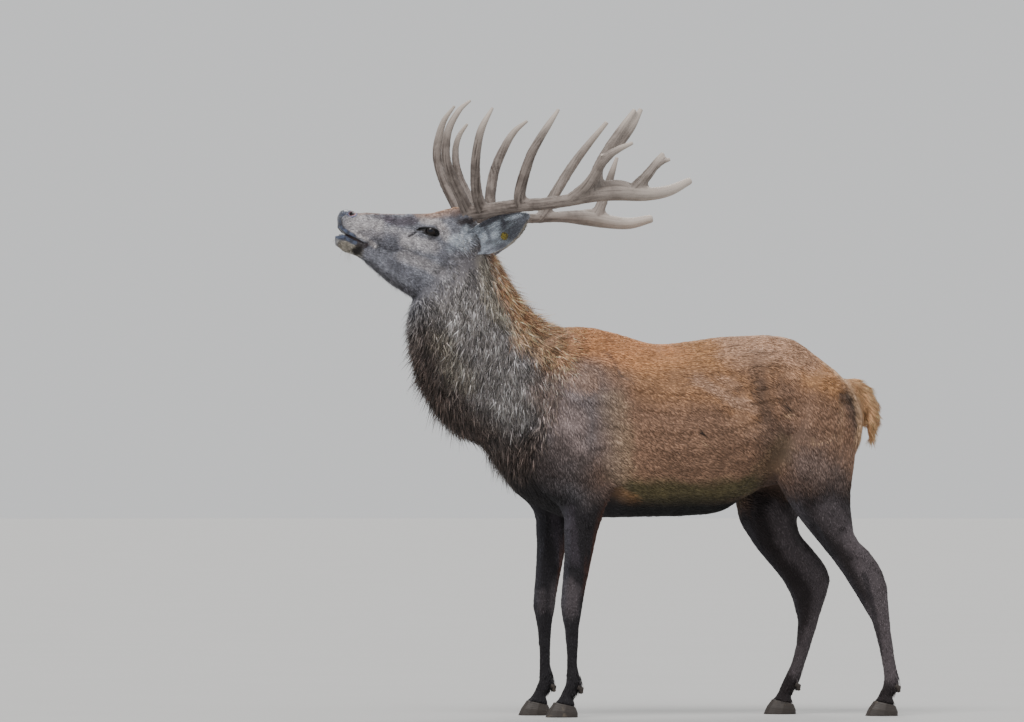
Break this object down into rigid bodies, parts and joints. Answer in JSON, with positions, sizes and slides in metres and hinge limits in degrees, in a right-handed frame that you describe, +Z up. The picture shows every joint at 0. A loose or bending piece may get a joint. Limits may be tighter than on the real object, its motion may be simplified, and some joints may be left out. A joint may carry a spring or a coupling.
{
  "type": "red deer stag",
  "caption": "Life-size still model of a red deer stag standing with its nose raised, branched antlers laid back, a thick neck mane and a plain round tag in one ear.",
  "frame": {"origin": "the middle of the bounding box on the ground plane, which the soles of all four feet stand on", "axes": "+Z up; the stag faces -X and its left side is at -Y"},
  "size_m": [1.7578, 0.7278, 1.8972],
  "materials": {
    "hide": "brown body coat, grain of short hair",
    "face": "grey short hair of the face and the ears",
    "leg": "very dark brown short hair of the legs",
    "antler": "dry grooved bone, pale at the tips",
    "horn": "dark hoof horn, half matt",
    "eye": "wet black-brown eye",
    "tag": "plain yellow plastic with no marks"
  },
  "bodies": {
    "root": {"antler_left_beam": "antler", "antler_left_bez": "antler", "antler_left_brow": "antler", "antler_left_crown": "antler", "antler_left_crown_front": "antler", "antler_left_crown_rear": "antler", "antler_left_crown_top": "antler", "antler_left_trez": "antler", "antler_right_beam": "antler", "antler_right_bez": "antler", "antler_right_brow": "antler", "antler_right_crown": "antler", "antler_right_crown_front": "antler", "antler_right_crown_top": "antler", "antler_right_trez": "antler", "dewclaw_fore_left_inner": "horn", "dewclaw_fore_left_outer": "horn", "dewclaw_fore_right_inner": "horn", "dewclaw_fore_right_outer": "horn", "dewclaw_hind_left_inner": "horn", "dewclaw_hind_left_outer": "horn", "dewclaw_hind_right_inner": "horn", "dewclaw_hind_right_outer": "horn", "ear_left": "face", "ear_right": "face", "ear_tag": "tag", "eye_left": "eye", "eye_right": "eye", "foreleg_left_lower": "leg", "foreleg_left_upper": "leg", "foreleg_right_lower": "leg", "foreleg_right_upper": "leg", "head": "face", "hindleg_left_lower": "leg", "hindleg_left_upper": "leg", "hindleg_right_lower": "leg", "hindleg_right_upper": "leg", "hoof_fore_left_inner": "horn", "hoof_fore_left_outer": "horn", "hoof_fore_right_inner": "horn", "hoof_fore_right_outer": "horn", "hoof_hind_left_inner": "horn", "hoof_hind_left_outer": "horn", "hoof_hind_right_inner": "horn", "hoof_hind_right_outer": "horn", "jaw": "face", "neck": "hide", "tail": "hide", "trunk": "hide"}
  },
  "joints": []
}
